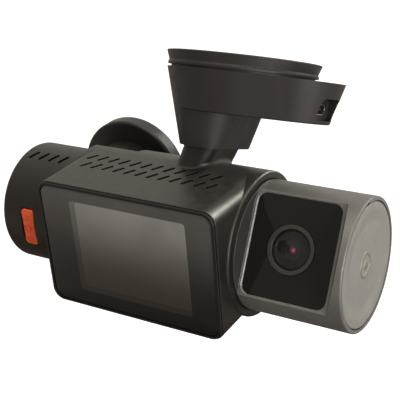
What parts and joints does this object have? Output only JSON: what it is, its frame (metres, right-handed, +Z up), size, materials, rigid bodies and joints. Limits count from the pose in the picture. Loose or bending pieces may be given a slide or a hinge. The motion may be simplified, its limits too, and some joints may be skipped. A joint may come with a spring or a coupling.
{
  "type": "dash camera",
  "caption": "Windscreen dash camera with a display, a front camera drum, a rotating cabin camera drum, keys, a card slot and a magnetic adhesive bracket.",
  "frame": {"origin": "centre of the adhesive face that sticks to the windscreen", "axes": "+X along the round body towards the cabin camera, +Y towards the road, +Z up; the adhesive face leans back by the windscreen's rake"},
  "size_m": [0.1217, 0.0685, 0.0818],
  "materials": {
    "bracket_plastic": "fine moulded texture",
    "body_plastic": "satin moulded",
    "hood_plastic": "satin moulded",
    "adhesive_foam": "foam tape with a film",
    "cover_glass_black": "gloss, printed black behind",
    "lcd": "gloss",
    "circuit_board": "solder mask",
    "chip_black": "moulded",
    "bare_aluminium": "machined",
    "steel": "plated",
    "nickel": "nickel plated",
    "gold_contact": "gold plated",
    "capacitor_sleeve": "shrink sleeve",
    "inner_plastic": "moulded",
    "bush_plastic": "self-lubricating, moulded",
    "ceramic": "ceramic with a silver patch",
    "key_rubber": "satin",
    "button_orange": "satin moulded",
    "gunmetal": "satin, metallic",
    "ring_metal": "anodised, turned",
    "tube_metal": "anodised",
    "lens_glass": "coated",
    "lamp_lens": "clear resin"
  },
  "bodies": {
    "bracket": {"adhesive_pad": "adhesive_foam", "bracket_plate": "bracket_plastic", "plate_screws": "steel", "bracket_housing": "bracket_plastic", "power_socket": "steel", "socket_tongue": "chip_black", "bracket_circuit_board": "circuit_board", "gps_antenna": "ceramic", "contact_block": "inner_plastic", "spring_contacts": "gold_contact", "bracket_magnets": "nickel"},
    "camera_body": {"front_shell": "body_plastic", "rear_cover": "body_plastic", "display_frame": "body_plastic", "cover_glass": "cover_glass_black", "lcd_panel": "lcd", "main_circuit_board": "circuit_board", "board_chips": "chip_black", "heat_sink": "bare_aluminium", "board_carrier": "inner_plastic", "cover_screws": "steel", "power_circuit_board": "circuit_board", "supercapacitors": "capacitor_sleeve", "speaker": "inner_plastic", "card_socket": "steel", "key_switches": "steel", "key_circuit_board": "circuit_board", "contact_plate": "inner_plastic", "body_magnets": "nickel", "front_drum_bush": "bush_plastic", "cabin_drum_bush": "bush_plastic"},
    "memory_card": {"memory_card": "chip_black"},
    "power_key": {"power_key": "key_rubber"},
    "up_key": {"up_key": "key_rubber"},
    "down_key": {"down_key": "key_rubber"},
    "menu_key": {"menu_key": "key_rubber"},
    "front_camera": {"front_drum": "body_plastic", "front_journal": "inner_plastic", "front_retaining_ring": "steel", "lens_hood": "hood_plastic", "front_sensor_board": "circuit_board", "front_image_sensor": "chip_black", "front_lens_holder": "inner_plastic", "front_lens_tube": "tube_metal", "front_lens_glass": "lens_glass", "event_switch": "steel", "event_circuit_board": "circuit_board"},
    "event_button": {"event_button": "button_orange"},
    "cabin_camera": {"cabin_drum": "gunmetal", "cabin_retaining_ring": "steel", "cabin_end_cap": "gunmetal", "cabin_window": "cover_glass_black", "cabin_lens_ring": "ring_metal", "cabin_sensor_board": "circuit_board", "cabin_image_sensor": "chip_black", "cabin_lens_holder": "inner_plastic", "cabin_lens_tube": "tube_metal", "cabin_lens_glass": "lens_glass", "lamp_circuit_board": "circuit_board", "infrared_lamps": "lamp_lens"}
  },
  "joints": [
    {"name": "body_release", "type": "slide", "parent": "bracket", "child": "camera_body", "axis": [0, -0.3616, -0.9323], "range_m": [0, 0.008]},
    {"name": "front_camera_tilt", "type": "hinge", "parent": "camera_body", "child": "front_camera", "pos_m": [-0.0544, -0.01983, -0.05114], "axis": [1, 0, 0], "range_deg": [-30, 30]},
    {"name": "cabin_camera_tilt", "type": "hinge", "parent": "camera_body", "child": "cabin_camera", "pos_m": [0.028, -0.01983, -0.05114], "axis": [1, 0, 0], "range_deg": [-25, 65]},
    {"name": "event_button_press", "type": "slide", "parent": "front_camera", "child": "event_button", "axis": [0, 1, 0], "range_m": [0, 0.0006], "stiffness_N_per_m": 900, "springref_m": -0.0004},
    {"name": "power_key_press", "type": "slide", "parent": "camera_body", "child": "power_key", "axis": [0, 0, 1], "range_m": [0, 0.00035], "stiffness_N_per_m": 900, "springref_m": -0.0004},
    {"name": "up_key_press", "type": "slide", "parent": "camera_body", "child": "up_key", "axis": [0, 0, 1], "range_m": [0, 0.00035], "stiffness_N_per_m": 900, "springref_m": -0.0004},
    {"name": "down_key_press", "type": "slide", "parent": "camera_body", "child": "down_key", "axis": [0, 0, 1], "range_m": [0, 0.00035], "stiffness_N_per_m": 900, "springref_m": -0.0004},
    {"name": "menu_key_press", "type": "slide", "parent": "camera_body", "child": "menu_key", "axis": [0, 0, 1], "range_m": [0, 0.00035], "stiffness_N_per_m": 900, "springref_m": -0.0004},
    {"name": "memory_card_slide", "type": "slide", "parent": "camera_body", "child": "memory_card", "axis": [0, 0, -1], "range_m": [0, 0.012]}
  ]
}
